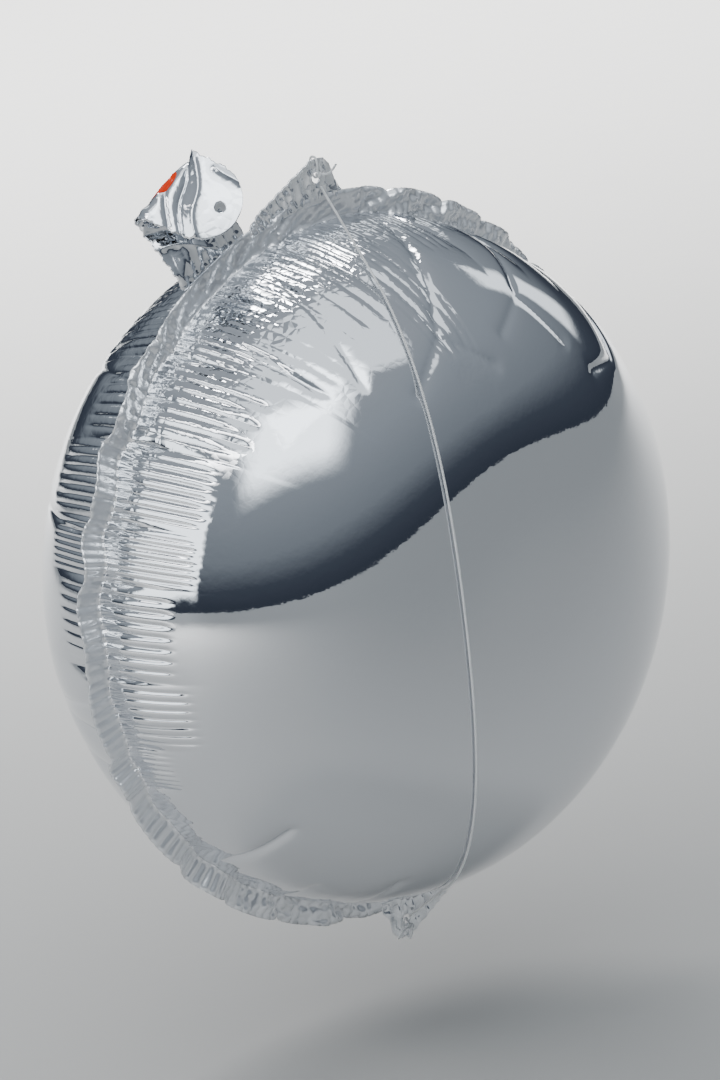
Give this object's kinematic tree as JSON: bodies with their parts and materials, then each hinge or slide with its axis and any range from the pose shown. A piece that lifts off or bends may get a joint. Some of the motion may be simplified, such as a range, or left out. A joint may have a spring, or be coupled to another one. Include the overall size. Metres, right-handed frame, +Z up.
{
  "type": "round foil balloon",
  "caption": "Silver round foil balloon: two sealed film panels with a ruffled seam, pierced ears, a folded filling tail and a thread tied over its face.",
  "frame": {"origin": "centre of the hole in the top ear, where the balloon hangs on its thread", "axes": "+Z up along the hanging thread, the front face with the thread towards -Y, +X to the right seen from the front"},
  "size_m": [0.3454, 0.225, 0.4014],
  "materials": {
    "silver_film": "mirror bright metallised film with fine wrinkles",
    "sealed_film": "heat sealed metallised film, crinkled",
    "valve_plastic": "thin clear plastic sleeve",
    "orange_ink": "orange red printed patch",
    "thread": "pale nylon thread"
  },
  "bodies": {
    "root": {"front_panel": "silver_film", "back_panel": "silver_film", "top_ear": "sealed_film", "bottom_ear": "sealed_film", "tail_inner_film": "sealed_film", "tail_outer_film": "sealed_film", "valve_sleeve": "valve_plastic", "valve_mark": "orange_ink", "top_tie": "thread", "bottom_tie": "thread", "face_thread": "thread"}
  },
  "joints": []
}
